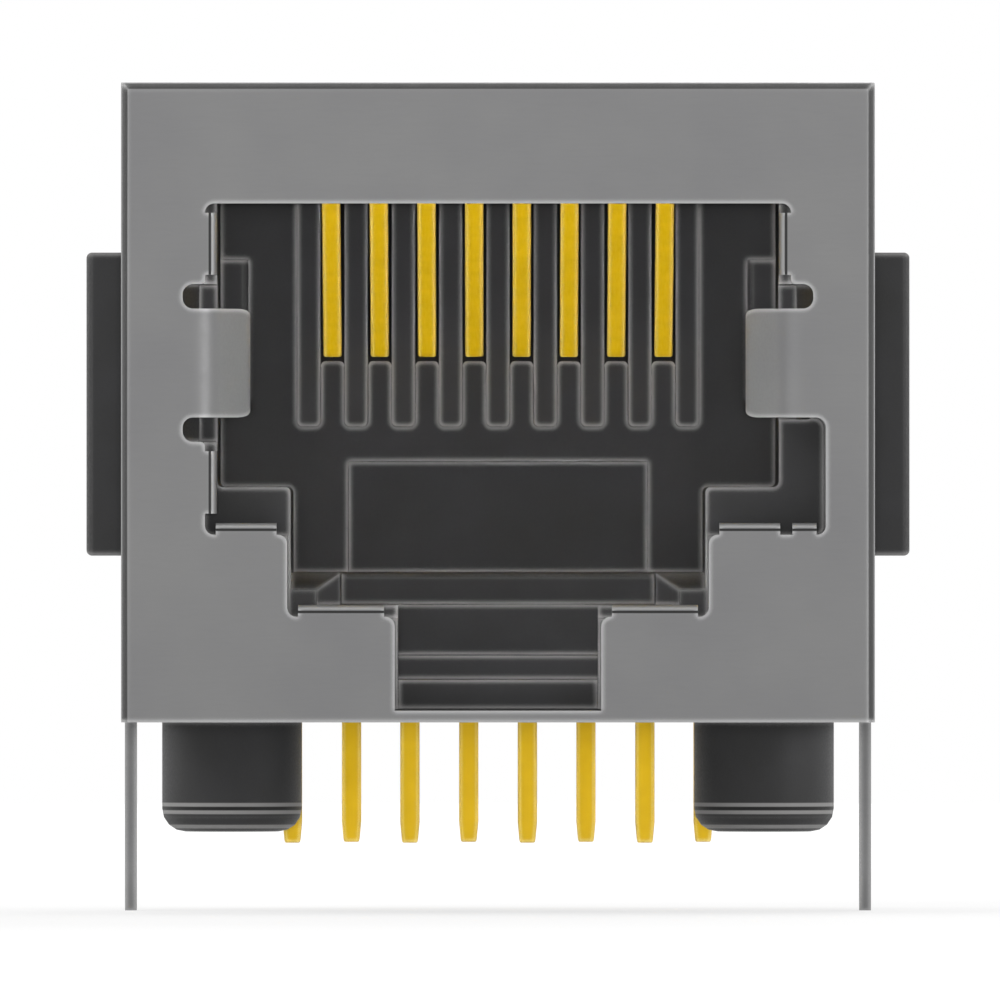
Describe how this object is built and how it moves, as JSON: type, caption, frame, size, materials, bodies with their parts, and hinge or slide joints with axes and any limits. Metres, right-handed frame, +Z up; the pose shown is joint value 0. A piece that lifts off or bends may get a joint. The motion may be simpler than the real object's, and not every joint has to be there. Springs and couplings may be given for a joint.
{
  "type": "shielded modular board jack",
  "caption": "Right-angle shielded modular jack for a circuit board: keyed mouth with ground fingers, gold spring contacts, locating pegs, panel stops and shield legs.",
  "frame": {"origin": "on the board plane, midway between the two locating pegs", "axes": "+X to the right of someone who looks into the mouth, +Y away from them, +Z up from the board; the mouth opens towards -Y"},
  "size_m": [0.0176, 0.018, 0.0177],
  "materials": {
    "shield_metal": "matt nickel plate over folded sheet",
    "housing_plastic": "black moulded thermoplastic, fine spark texture",
    "insert_plastic": "black moulded thermoplastic",
    "contact_gold": "gold plate over phosphor bronze"
  },
  "bodies": {
    "root": {"housing": "housing_plastic", "contact_insert": "insert_plastic", "tail_spacer": "insert_plastic", "front_shield": "shield_metal", "rear_shield": "shield_metal", "contact_1": "contact_gold", "contact_2": "contact_gold", "contact_3": "contact_gold", "contact_4": "contact_gold", "contact_5": "contact_gold", "contact_6": "contact_gold", "contact_7": "contact_gold", "contact_8": "contact_gold"}
  },
  "joints": []
}
